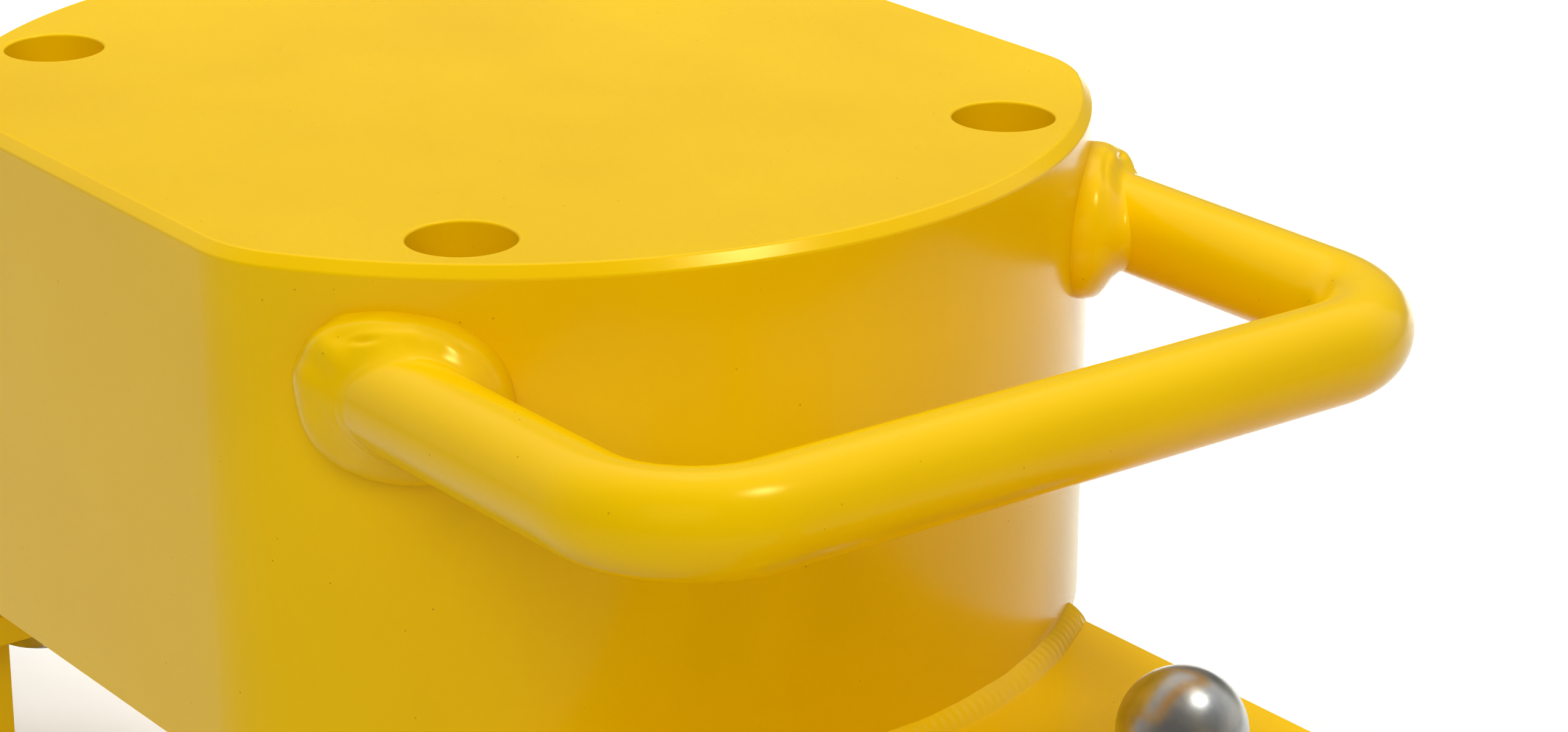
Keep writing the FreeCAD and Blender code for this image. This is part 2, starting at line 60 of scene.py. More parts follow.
DRUM_RADIUS = DRUM_HIGH[0]
DRUM_FLAT = DRUM_HIGH[1]
RIM_TOP = DRUM_HIGH[2]
DRUM_FOOT = SHELL_LOW[2]
TUBE_RADIUS = (HANDLE_HIGH[2] - HANDLE_LOW[2]) / 2
HANDLE_Z = (HANDLE_HIGH[2] + HANDLE_LOW[2]) / 2
HANDLE_SIDE = HANDLE_HIGH[1] - TUBE_RADIUS
HANDLE_REACH = HANDLE_HIGH[0] - TUBE_RADIUS
# Inside sizes of the CAD solids, which their boxes don't give.
HANDLE_BEND = 31 * MM
HANDLE_ROOT = 117 * MM
DRUM_CORNER = 40 * MM
DRUM_WALL = 8 * MM
RIM_CHAMFER = 3 * MM

MOUNTS = {mount["name"]: mount for mount in frame["record"]["mounts"]}
HOLES = MOUNTS["drum_bolting_face"]["dims"]


# --- small helpers ------------------------------------------------------------------

def linear(hex_colour):
    """An sRGB hex colour as a linear RGBA tuple."""
    parts = [int(hex_colour[i:i + 2], 16) / 255 for i in (1, 3, 5)]
    lit = [p / 12.92 if p <= 0.04045 else ((p + 0.055) / 1.055) ** 2.4 for p in parts]
    return (*lit, 1.0)


def add_node(tree, kind, links=(), **settings):
    """Adds a node; settings are its properties or input values, links its (input, output) pairs."""
    node = tree.nodes.new(kind)
    for name, value in settings.items():
        if hasattr(node, name):
            setattr(node, name, value)
    for name, value in settings.items():
        label = name.replace("_", " ")
        for socket in node.inputs:
            if not hasattr(node, name) and socket.name.lower() == label.lower():
                socket.default_value = value
                break
    for target, source in links:
        tree.links.new(node.inputs[target], source)
    return node


def new_material(name):
    """An empty node material with its output; returns the material and its node tree."""
    material = bpy.data.materials.new(name)
    material.use_nodes = True
    tree = material.node_tree
    tree.nodes.clear()
    return material, tree


def finish_shader(tree, shader):
    add_node(tree, "ShaderNodeOutputMaterial", [("Surface", shader.outputs[0])])


def add_piece(name, verts, faces, material, body="beam", smooth_angle=35):
    """A mesh object made from points and faces, shaded smooth below an angle, riding on a body."""
    mesh = bpy.data.meshes.new(name)
    mesh.from_pydata([tuple(v) for v in verts], [], faces)
    mesh.validate()
    mesh.update()
    return add_mesh(name, mesh, material, body, smooth_angle)


def add_mesh(name, mesh, material, body="beam", smooth_angle=35):
    piece = bpy.data.objects.new(name, mesh)
    bpy.context.scene.collection.objects.link(piece)
    mesh.polygons.foreach_set("use_smooth", [True] * len(mesh.polygons))
    mesh.set_sharp_from_angle(angle=math.radians(smooth_angle))
    mesh.materials.clear()
    mesh.materials.append(material)
    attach(piece, body)
    return piece


def grid_faces(rows, columns, closed=True):
    """Quads of a grid of points; closed joins the last column to the first."""
    faces = []
    for row in range(rows - 1):
        for column in range(columns if closed else columns - 1):
            right = (column + 1) % columns
            faces.append((
                row * columns + column,
                row * columns + right,
                (row + 1) * columns + right,
                (row + 1) * columns + column,
            ))
    return faces


def tube_faces(rows, columns):
    """Faces of a stack of closed rings, with a cap on its first and its last ring."""
    last = (rows - 1) * columns
    faces = grid_faces(rows, columns)
    faces.append(tuple(reversed(range(columns))))
    faces.append(tuple(range(last, last + columns)))
    return faces


def merged(parts):
    """The points and faces of several meshes as one list of each."""
    verts, faces = [], []
    for more_verts, more_faces in parts:
        base = len(verts)
        verts += more_verts
        faces += [tuple(base + i for i in face) for face in more_faces]
    return verts, faces


def outward(mesh):
    """Turns a closed mesh's faces outward."""
    work = bmesh.new()
    work.from_mesh(mesh)
    bmesh.ops.recalc_face_normals(work, faces=work.faces)
    work.to_mesh(mesh)
    work.free()


def wobble(point, size, seed=0.0):
    """Smooth noise from -1 to 1 with lumps of a given size in metres."""
    return noise.noise(Vector(point) / size + Vector((seed, seed * 0.7, -seed)))


# --- materials ----------------------------------------------------------------------

def yellow_enamel():
    """Two-pack gloss enamel, sprayed over blasted steel: deep even yellow under a wet gloss,
    with a fine orange peel, slow waves from the steel below, and a few specks of dust."""
    material, tree = new_material("yellow_gloss_enamel_sprayed")
    place = add_node(tree, "ShaderNodeTexCoord").outputs["Object"]

    peel_size = 1.5 * MM
    wave_size = 34 * MM
    cloud_size = 90 * MM
    speck_pitch = 9 * MM
    peel = add_node(tree, "ShaderNodeTexNoise", [("Vector", place)], Scale=1 / peel_size, Detail=1.0)
    wave = add_node(tree, "ShaderNodeTexNoise", [("Vector", place)], Scale=1 / wave_size, Detail=0.0)
    cloud = add_node(tree, "ShaderNodeTexNoise", [("Vector", place)], Scale=1 / cloud_size, Detail=2.0)
    cells = add_node(tree, "ShaderNodeTexVoronoi", [("Vector", place)], Scale=1 / speck_pitch)
    # Specks are drawn 0.8 mm across, larger than real dust, so that they show.
    speck = add_node(
        tree, "ShaderNodeMapRange", [("Value", cells.outputs["Distance"])], interpolation_type="SMOOTHSTEP",
        From_Min=0.02, From_Max=0.04, To_Min=0.45, To_Max=0.0,
    )

    tint = add_node(tree, "ShaderNodeValToRGB", [("Fac", cloud.outputs["Fac"])])
    tint.color_ramp.elements[0].position = 0.35
    tint.color_ramp.elements[0].color = linear("#F0C000")
    tint.color_ramp.elements[1].position = 0.70
    tint.color_ramp.elements[1].color = linear("#F6C700")
    colour = add_node(
        tree, "ShaderNodeMix", [("Factor", speck.outputs[0]), (6, tint.outputs["Color"])], data_type="RGBA",
    )
    colour.inputs[7].default_value = linear("#6E5208")

    gloss = add_node(
        tree, "ShaderNodeMapRange", [("Value", cloud.outputs["Fac"])],
        From_Min=0.3, From_Max=0.7, To_Min=0.17, To_Max=0.24,
    )
    wave_bump = add_node(
        tree, "ShaderNodeBump", [("Height", wave.outputs["Fac"])], Strength=0.5, Distance=0.25 * MM,
    )
    peel_bump = add_node(
        tree, "ShaderNodeBump", [("Height", peel.outputs["Fac"]), ("Normal", wave_bump.outputs[0])],
        Strength=0.3, Distance=0.05 * MM,
    )
    shader = add_node(
        tree, "ShaderNodeBsdfPrincipled",
        [
            ("Base Color", colour.outputs[2]), ("Roughness", gloss.outputs[0]),
            ("Normal", peel_bump.outputs[0]),
        ],
        IOR=1.48,
    )
    # The gloss holds some pigment, so what it mirrors square-on takes the paint's colour.
    shader.inputs["Specular Tint"].default_value = linear("#FFDD80")
    finish_shader(tree, shader)
    return material


def galvanised_forging():
    """Hot-dip galvanised forged steel: pale grey with cloudy zinc patches and a cast-like grain."""
    material, tree = new_material("galvanised_forged_steel")
    place = add_node(tree, "ShaderNodeTexCoord").outputs["Object"]
    spangle_size = 5 * MM
    grain_size = 0.9 * MM
    spangle = add_node(tree, "ShaderNodeTexVoronoi", [("Vector", place)], Scale=1 / spangle_size)
    shade = add_node(tree, "ShaderNodeSeparateColor", [("Color", spangle.outputs["Color"])])
    cloud_size = 4 * spangle_size
    cloud = add_node(tree, "ShaderNodeTexNoise", [("Vector", place)], Scale=1 / cloud_size, Detail=4.0)
    grain = add_node(tree, "ShaderNodeTexNoise", [("Vector", place)], Scale=1 / grain_size, Detail=3.0)
    mixed = add_node(
        tree, "ShaderNodeMath", [(0, shade.outputs[0]), (1, cloud.outputs["Fac"])], operation="MULTIPLY",
    )
    tint = add_node(tree, "ShaderNodeValToRGB", [("Fac", mixed.outputs[0])])
    tint.color_ramp.elements[0].color = linear("#8D9194")
    tint.color_ramp.elements[1].position = 0.6
    tint.color_ramp.elements[1].color = linear("#C6CACC")
    gloss = add_node(tree, "ShaderNodeMapRange", [("Value", mixed.outputs[0])], To_Min=0.36, To_Max=0.56)
    bump = add_node(
        tree, "ShaderNodeBump", [("Height", grain.outputs["Fac"])], Strength=0.5, Distance=0.12 * MM,
    )
    shader = add_node(
        tree, "ShaderNodeBsdfPrincipled",
        [("Base Color", tint.outputs["Color"]), ("Roughness", gloss.outputs[0]), ("Normal", bump.outputs[0])],
        Metallic=0.85,
    )
    finish_shader(tree, shader)
    return material


def zinc_plate():
    """Bright zinc-plated steel: silvery, clouding from cool to faintly warm, with a fine grain."""
    material, tree = new_material("zinc_plated_turned_steel")
    place = add_node(tree, "ShaderNodeTexCoord").outputs["Object"]
    cloud_size = 9 * MM
    grain_size = 0.7 * MM
    cloud = add_node(tree, "ShaderNodeTexNoise", [("Vector", place)], Scale=1 / cloud_size, Detail=4.0)
    fine = add_node(tree, "ShaderNodeTexNoise", [("Vector", place)], Scale=1 / grain_size, Detail=2.0)
    tint = add_node(tree, "ShaderNodeValToRGB", [("Fac", cloud.outputs["Fac"])])
    tint.color_ramp.elements[0].position = 0.35
    tint.color_ramp.elements[0].color = linear("#B9BCBE")
    tint.color_ramp.elements[1].position = 0.68
    tint.color_ramp.elements[1].color = linear("#D9D7CC")
    gloss = add_node(
        tree, "ShaderNodeMapRange", [("Value", cloud.outputs["Fac"])], To_Min=0.2, To_Max=0.42,
    )
    bump = add_node(
        tree, "ShaderNodeBump", [("Height", fine.outputs["Fac"])], Strength=0.3, Distance=0.05 * MM,
    )
    shader = add_node(
        tree, "ShaderNodeBsdfPrincipled",
        [("Base Color", tint.outputs["Color"]), ("Roughness", gloss.outputs[0]), ("Normal", bump.outputs[0])],
        Metallic=1.0,
    )
    finish_shader(tree, shader)
    return material


def drawn_steel():
    """Bare drawn steel of the split pins and sleeves: mid grey with a fine grain."""
    material, tree = new_material("bare_drawn_steel")
    place = add_node(tree, "ShaderNodeTexCoord").outputs["Object"]
    grain_size = 1.2 * MM
    grain = add_node(tree, "ShaderNodeTexNoise", [("Vector", place)], Scale=1 / grain_size, Detail=3.0)
    tint = add_node(tree, "ShaderNodeValToRGB", [("Fac", grain.outputs["Fac"])])
    tint.color_ramp.elements[0].color = linear("#86888A")
    tint.color_ramp.elements[1].color = linear("#A9ABAC")
    bump = add_node(
        tree, "ShaderNodeBump", [("Height", grain.outputs["Fac"])], Strength=0.3, Distance=0.05 * MM,
    )
    shader = add_node(
        tree, "ShaderNodeBsdfPrincipled",
        [("Base Color", tint.outputs["Color"]), ("Normal", bump.outputs[0])],
        Metallic=1.0, Roughness=0.34,
    )
    finish_shader(tree, shader)
    return material


def moulded_rubber():
    """Moulded black rubber of the feet: soft dark grey with a fine matt grain and dusty patches."""
    material, tree = new_material("moulded_black_rubber")
    place = add_node(tree, "ShaderNodeTexCoord").outputs["Object"]
    dust_size = 18 * MM
    grain_size = 0.8 * MM
    dust = add_node(tree, "ShaderNodeTexNoise", [("Vector", place)], Scale=1 / dust_size, Detail=5.0)
    grain = add_node(tree, "ShaderNodeTexNoise", [("Vector", place)], Scale=1 / grain_size, Detail=3.0)
    tint = add_node(tree, "ShaderNodeValToRGB", [("Fac", dust.outputs["Fac"])])
    tint.color_ramp.elements[0].position = 0.4
    tint.color_ramp.elements[0].color = linear("#232425")
    tint.color_ramp.elements[1].position = 0.8
    tint.color_ramp.elements[1].color = linear("#3A3A38")
    bump = add_node(
        tree, "ShaderNodeBump", [("Height", grain.outputs["Fac"])], Strength=0.5, Distance=0.1 * MM,
    )
    shader = add_node(
        tree, "ShaderNodeBsdfPrincipled",
        [("Base Color", tint.outputs["Color"]), ("Normal", bump.outputs[0])],
        Roughness=0.72, IOR=1.52,
    )
    finish_shader(tree, shader)
    return material


def brushed_aluminium():
    """Brushed aluminium of the blank plate: bright, with hair lines along its length."""
    material, tree = new_material("brushed_aluminium_plate")
    place = add_node(tree, "ShaderNodeTexCoord").outputs["Object"]
    hair = 0.4 * MM
    stretch = add_node(
        tree, "ShaderNodeMapping", [("Vector", place)], Scale=(0.04 / hair, 1 / hair, 1 / hair),
    )
    lines = add_node(tree, "ShaderNodeTexNoise", [("Vector", stretch.outputs[0])], Scale=1.0, Detail=2.0)
    tint = add_node(tree, "ShaderNodeValToRGB", [("Fac", lines.outputs["Fac"])])
    tint.color_ramp.elements[0].color = linear("#B4B6B8")
    tint.color_ramp.elements[1].color = linear("#DCDDDE")
    bump = add_node(
        tree, "ShaderNodeBump", [("Height", lines.outputs["Fac"])], Strength=0.3, Distance=0.03 * MM,
    )
    shader = add_node(
        tree, "ShaderNodeBsdfPrincipled",
        [("Base Color", tint.outputs["Color"]), ("Normal", bump.outputs[0])],
        Metallic=1.0, Roughness=0.3,
    )
    finish_shader(tree, shader)
    return material


def studio_floor_paint():
    """Matt white studio floor, with a barely visible mottle."""
    material, tree = new_material("matt_white_studio_floor")
    place = add_node(tree, "ShaderNodeTexCoord").outputs["Object"]
    mottles_per_metre = 6.0
    mottle = add_node(tree, "ShaderNodeTexNoise", [("Vector", place)], Scale=mottles_per_metre, Detail=3.0)
    tint = add_node(tree, "ShaderNodeValToRGB", [("Fac", mottle.outputs["Fac"])])
    tint.color_ramp.elements[0].color = linear("#CDCDCA")
    tint.color_ramp.elements[1].color = linear("#D4D4D2")
    shader = add_node(
        tree, "ShaderNodeBsdfPrincipled", [("Base Color", tint.outputs["Color"])], Roughness=0.85, IOR=1.45,
    )
    finish_shader(tree, shader)
    return material


PAINT = yellow_enamel()
GALVANISED = galvanised_forging()
ZINC = zinc_plate()
STEEL = drawn_steel()
RUBBER = moulded_rubber()
ALUMINIUM = brushed_aluminium()

FINISH_OF_SLOT = {
    "yellow_paint": PAINT,
    "galvanised_steel": GALVANISED,
    "zinc_plated_steel": ZINC,
    "bare_steel": STEEL,
    "pad_rubber": RUBBER,
    "plate_aluminium": ALUMINIUM,
}


def dress_cad_nodes():
    """Gives every CAD node the finish of its slot, and softens the edges of plates and sections."""
    slots = {part["node"]: part["material_slot"] for part in frame["record"]["subparts"]}
    for name, node in frame["nodes"].items():
        node.data.materials.clear()
        node.data.materials.append(FINISH_OF_SLOT[slots[name]])
        if slots[name] == "yellow_paint":
            edge = node.modifiers.new("eased_edges", "BEVEL")
            edge.width = 0.8 * MM
            edge.segments = 2
            edge.limit_method = "ANGLE"
            edge.angle_limit = math.radians(50)
            edge.harden_normals = True


# --- drum ---------------------------------------------------------------------------

def drum_outline(inset, per_quarter=40):
    """Points round the drum: a circle with two flats and eased corners, moved in by inset."""
    radius, flat = DRUM_RADIUS - inset, DRUM_FLAT - inset
    corner = DRUM_CORNER - inset
    centre_y = flat - corner
    centre_x = math.sqrt((radius - corner) ** 2 - centre_y ** 2)
    tangent = math.atan2(centre_y, centre_x)
    quarter = []
    for step in range(per_quarter + 1):
        angle = tangent * step / per_quarter
        quarter.append((radius * math.cos(angle), radius * math.sin(angle)))
    for step in range(1, 13):
        angle = tangent + (math.pi / 2 - tangent) * step / 12
        quarter.append((centre_x + corner * math.cos(angle), centre_y + corner * math.sin(angle)))
    for step in range(1, 7):
        quarter.append((centre_x * (1 - step / 6), flat))
    second = [(-x, y) for x, y in reversed(quarter[:-1])]
    half = quarter + second
    return half + [(x, -y) for x, y in reversed(half[1:-1])]


def stacked_solid(name, levels):
    """A closed mesh through outlines at several heights; levels are (inset, height) pairs."""
    verts, count = [], 0
    for inset, height in levels:
        ring = drum_outline(inset)
        count = len(ring)
        verts += [(x, y, height) for x, y in ring]
    faces = tube_faces(len(levels), count)
    mesh = bpy.data.meshes.new(name)
    mesh.from_pydata(verts, [], faces)
    outward(mesh)
    return mesh


def rim_levels(inset, chamfer, ease):
    """The rim's section: wall, eased edge, chamfer, eased edge, flat top."""
    low, high = RIM_TOP - chamfer, RIM_TOP
    # How far an arc that turns 45 degrees starts before its corner, as a share of its radius.
    setback = 0.41
    levels = []
    for step in range(5):
        turn = math.radians(45 * step / 4)
        levels.append((inset + ease * (1 - math.cos(turn)), low - setback * ease + ease * math.sin(turn)))
    for step in range(5):
        turn = math.radians(45 + 45 * step / 4)
        across = inset + chamfer + setback * ease - ease * math.cos(turn)
        levels.append((across, high - ease * (1 - math.sin(turn))))
    return levels


def hole_cutter(x, y, radius):
    """A round cutter with a flared mouth, as paint rounds over the edge of a drilled hole."""
    ease = 0.8 * MM
    profile = [(radius, DRUM_LOW[2] - 3 * MM), (radius, RIM_TOP - ease)]
    for step in range(1, 5):
        turn = math.pi / 2 * step / 4
        profile.append((radius + ease * (1 - math.cos(turn)), RIM_TOP - ease * (1 - math.sin(turn))))
    profile.append((radius + ease, RIM_TOP + 2 * MM))
    columns = 72
    verts = []
    for r, z in profile:
        for step in range(columns):
            angle = 2 * math.pi * step / columns
            verts.append((x + r * math.cos(angle), y + r * math.sin(angle), z))
    faces = tube_faces(len(profile), columns)
    mesh = bpy.data.meshes.new("hole_cutter")
    mesh.from_pydata(verts, [], faces)
    outward(mesh)
    return mesh


def carve(mesh, cutters):
    """The mesh with each cutter taken out of it."""
    scene = bpy.context.scene.collection
    body = bpy.data.objects.new("carve_body", mesh)
    scene.objects.link(body)
    tools = []
    for cutter in cutters:
        tool = bpy.data.objects.new("carve_tool", cutter)
        scene.objects.link(tool)
        tools.append(tool)
        cut = body.modifiers.new("cut", "BOOLEAN")
        cut.operation = "DIFFERENCE"
        cut.solver = "EXACT"
        cut.object = tool
    bpy.context.view_layer.update()
    carved = bpy.data.meshes.new_from_object(body.evaluated_get(bpy.context.evaluated_depsgraph_get()))
    for done in [body, *tools]:
        bpy.data.objects.remove(done)
    return carved


def make_drum():
    """Round shell and bolting plate, welded, ground flush and painted as one smooth body."""
    ease = 1.4 * MM
    foot_ease = 0.6 * MM
    levels = [(foot_ease, DRUM_FOOT), (0, DRUM_FOOT + foot_ease)]
    for step in range(1, 7):
        levels.append((0, DRUM_FOOT + (RIM_TOP - 8 * MM - DRUM_FOOT) * step / 6))
    levels += rim_levels(0, RIM_CHAMFER, ease)
    skin = stacked_solid("drum_skin", levels)
    room = stacked_solid("drum_room", [(DRUM_WALL, DRUM_FOOT - 1 * MM), (DRUM_WALL, DRUM_LOW[2])])
    cutters = [room]
    for sx in (-1, 1):
        for sy in (-1, 1):
            x, y = sx * HOLES["spacing_x_mm"] / 2 * MM, sy * HOLES["spacing_y_mm"] / 2 * MM
            cutters.append(hole_cutter(x, y, HOLES["hole_r_mm"] * MM))
    mesh = carve(skin, cutters)
    mesh.name = "drum_body"
    drum = add_mesh("drum_body", mesh, PAINT, smooth_angle=30)
    flatten = drum.modifiers.new("even_shading", "WEIGHTED_NORMAL")
    flatten.keep_sharp = True
    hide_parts("top_plate", "drum_shell")


# --- steering handle ----------------------------------------------------------------

def handle_centre_line():
    """Points and directions along the handle, from the near leg round to the far leg."""
    turn_x = HANDLE_REACH - HANDLE_BEND
    turn_y = HANDLE_SIDE - HANDLE_BEND
    half = []
    for step in range(25):
        half.append((HANDLE_ROOT + (turn_x - HANDLE_ROOT) * step / 24, -HANDLE_SIDE, 0.0))
    for step in range(1, 25):
        angle = math.pi / 2 * step / 24
        x = turn_x + HANDLE_BEND * math.sin(angle)
        half.append((x, -turn_y - HANDLE_BEND * math.cos(angle), angle))
    for step in range(1, 16):
        half.append((HANDLE_REACH, -turn_y * (1 - step / 16), math.pi / 2))
    far = [(x, -y, math.pi - angle) for x, y, angle in reversed(half)]
    return half + [(HANDLE_REACH, 0.0, math.pi / 2)] + far


def handle_dent(point):
    """Depth of the small dent on the inside of the far bend, where the bender's stop touched."""
    depth = 0.9 * MM
    width = 3.5 * MM
    spot = Vector((HANDLE_REACH - HANDLE_BEND, HANDLE_SIDE - HANDLE_BEND, HANDLE_Z))
    toward = Vector((0.42, 0.62, 0.66)).normalized()
    place = spot + Vector((toward.x, toward.y, 0)).normalized() * (HANDLE_BEND - TUBE_RADIUS * 0.75)
    place.z += TUBE_RADIUS * 0.62
    distance = (Vector(point) - place).length
    return depth * math.exp(-(distance / width) ** 2)


def make_handle():
    """One tube bent twice, its wall slightly wrinkled and flattened in the bends."""
    columns = 72
    verts = []
    line = handle_centre_line()
    wall = DRUM_RADIUS - 0.5 * MM
    for x, y, angle in line:
        side = Vector((math.sin(angle), -math.cos(angle), 0))
        bend = math.sin(2 * min(angle, math.pi - angle)) if 0.02 < angle < 3.12 else 0.0
        bend = max(bend, 0.0)
        for step in range(columns):
            turn = 2 * math.pi * step / columns
            across, up = math.cos(turn), math.sin(turn)
            flat = 1 - 0.022 * bend * across ** 2 + 0.010 * bend * up ** 2
            ripple = 0.12 * MM * bend * wobble((x, y, up * 0.01), 6 * MM, 3.0)
            radius = TUBE_RADIUS * min(flat, 1.0) - abs(ripple)
            place = Vector((x, y, HANDLE_Z)) + side * (radius * across)
            place.z += radius * up
            inward = (Vector((x, y, HANDLE_Z)) - place).normalized()
            place += inward * handle_dent(place)
            reach = math.sqrt(max(wall ** 2 - place.y ** 2, 0))
            if place.x < reach:
                place.x = reach
            verts.append(place)
    faces = tube_faces(len(line), columns)
    handle = add_piece("handle_tube_painted", verts, faces, PAINT, smooth_angle=60)
    outward(handle.data)
    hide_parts("handle_tube")


def bent_sign(value, power):
    """A sine or cosine raised to a power, keeping its sign."""
    return math.copysign(abs(value) ** power, value)


def weld_section(turn, middle, half_height, reach):
    """The bead's section at an angle round the leg, as the five points of a curve: it leaves the
    wall steeply, is full in the middle, and runs out along the tube. Zero is the drum's side."""
    inner = max(math.cos(turn), 0.0)
    outer = max(-math.cos(turn), 0.0)
    high = middle + half_height * bent_sign(math.sin(turn), 0.86)
    along = 10 * MM + 27.5 * MM * bent_sign(math.cos(turn), 0.86) - 0.13 * high
    angle = math.asin(HANDLE_SIDE / DRUM_RADIUS) - along / DRUM_RADIUS
    normal = Vector((math.cos(angle), math.sin(angle), 0))
    wall = Vector((0, 0, HANDLE_Z + high)) + normal * (DRUM_RADIUS - 0.3 * MM)

    toe = reach + (124 * MM - reach) * outer + (143 * MM - reach) * inner ** 1.5
    radius = TUBE_RADIUS - 0.1 * MM
    spread = Vector((0, -math.cos(turn), math.sin(turn)))
    tube = Vector((toe, HANDLE_SIDE, HANDLE_Z)) + spread * radius
    span = (tube - wall).length
    rise = wall + normal * (0.46 * span)
    run = tube + Vector((-1, 0, 0)) * (0.34 * span * (1 - 0.5 * inner)) + spread * (0.05 * span * inner)
    full = (rise + run) / 2 + spread * (0.10 * span * (1 - 0.7 * outer))
    return wall, rise, full, run, tube


def section_point(points, share):
    """A point on the curve that the section's points control, and the way it runs there."""
    while len(points) > 2:
        points = [a.lerp(b, share) for a, b in zip(points, points[1:])]
    return points[0].lerp(points[1], share), points[1] - points[0]


def make_handle_weld(name, node, side, low, high, reach, seed):
    """Heavy bead in several runs, built up round the leg and dressed smooth under thick paint."""
    columns, rows = 200, 48
    pit_turn, pit_share = 1.85, 0.50
    pit_depth = 0.9 * MM
    groove_depth = 0.4 * MM
    ring_height = 0.13 * MM
    toe_wander = 0.6 * MM
    small_lump, large_lump = 1.2 * MM, 0.5 * MM
    middle, half_height = (high + low) / 2, (high - low) / 2
    sections = [weld_section(2 * math.pi * c / columns, middle, half_height, reach) for c in range(columns)]
    verts = []
    for row in range(rows):
        share = row / (rows - 1)
        for column, section in enumerate(sections):
            turn = 2 * math.pi * column / columns
            place, slope = section_point(section, share)
            round_way = Vector((0, math.sin(turn), math.cos(turn)))
            lift = slope.cross(round_way).normalized()
            if lift.dot(place - Vector((place.x, HANDLE_SIDE, HANDLE_Z))) < 0:
                lift = -lift
            belly = math.sin(math.pi * share) ** 0.8
            corner = 0.35 + 0.9 * math.exp(-((turn - 2.3) / 0.8) ** 2)
            lumps = small_lump * corner * wobble(place, 8 * MM, seed)
            lumps += large_lump * wobble(place, 20 * MM, seed + 4)
            groove = -groove_depth * math.exp(-((share - 0.36 - 0.05 * math.sin(3 * turn)) / 0.09) ** 2)
            groove *= max(math.sin(turn + 0.25), 0.15)
            rings = ring_height * math.sin(58 * share + 0.8 * wobble(place, 9 * MM, seed + 7))
            rings *= math.exp(-((share - 0.88) / 0.10) ** 2) * max(-math.cos(turn - 0.4), 0)
            pit = math.exp(-((turn - pit_turn) / 0.13) ** 2 - ((share - pit_share) / 0.07) ** 2)
            edge = toe_wander * wobble(place, 8 * MM, seed + 9) * (1 - share) ** 3
            place = place + lift * (belly * (lumps + groove) + rings - pit_depth * pit)
            place.z += edge
            verts.append((place.x, side * place.y, place.z))
    faces = tube_faces(rows, columns)
    bead = add_piece(name, verts, faces, PAINT, smooth_angle=70)
    outward(bead.data)
    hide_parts(node)


# --- other welds --------------------------------------------------------------------

BEAD_STEP = 0.8 * MM


def bead_mesh(path, leg_a, leg_b, seed):
    """A fillet bead along a path: three-cornered section with a round, rippled face.
    leg_a and leg_b give, for each point, the two directions and widths of its toes."""
    rows = []
    across = 7
    for index, place in enumerate(path):
        a, b = leg_a(index), leg_b(index)
        shade = 1 + 0.10 * wobble(place, 14 * MM, seed)
        row = [Vector(place)]
        for step in range(across):
            share = step / (across - 1)
            point = Vector(place) + (a * (1 - share) + b * share) * shade
            outside = (a + b).normalized()
            # One ripple for every four steps, each bowed back towards its toes.
            travel = 0.25 * index + 2.2 * (share - 0.5) ** 2
            scallop = 0.5 + 0.5 * math.cos(2 * math.pi * travel)
            swell = 0.10 * a.length * math.sin(math.pi * share)
            ripple = 0.05 * a.length * scallop * math.sin(math.pi * share)
            row.append(point + outside * (swell + ripple))
        rows.append(row)
    verts = [v for row in rows for v in row]
    return verts, tube_faces(len(rows), across + 1)


def make_straight_beads(name, runs, body="beam"):
    """Several straight fillet beads as one piece; a run is (start, end, toe a, toe b)."""
    beads = []
    for number, (start, end, toe_a, toe_b) in enumerate(runs):
        start, end = Vector(start), Vector(end)
        count = max(int((end - start).length / BEAD_STEP), 8)
        path = [start.lerp(end, step / count) for step in range(count + 1)]
        a, b = Vector(toe_a), Vector(toe_b)
        beads.append(bead_mesh(path, lambda i: a, lambda i: b, 2.0 * number + 1))
    piece = add_piece(name, *merged(beads), PAINT, body, smooth_angle=60)
    outward(piece.data)
    return piece


def make_drum_foot_weld():
    """Rippled fillet bead round the drum's foot, at each end, as far as the flange is wide."""
    reach = math.asin((FLANGE_HIGH[1] - 3 * MM) / DRUM_RADIUS)
    size = 5 * MM
    beads = []
    for half_turn in (0, math.pi):
        count = int(2 * reach * DRUM_RADIUS / BEAD_STEP)
        angles = [half_turn + reach * (2 * step / count - 1) for step in range(count + 1)]
        path = [Vector((DRUM_RADIUS * math.cos(t), DRUM_RADIUS * math.sin(t), DRUM_FOOT)) for t in angles]
        beads.append(bead_mesh(
            path,
            lambda i: Vector((math.cos(angles[i]), math.sin(angles[i]), 0)) * size,
            lambda i: Vector((0, 0, size)),
            half_turn + 5,
        ))
    piece = add_piece("drum_foot_bead", *merged(beads), PAINT, smooth_angle=60)
    outward(piece.data)
    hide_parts("drum_foot_weld")


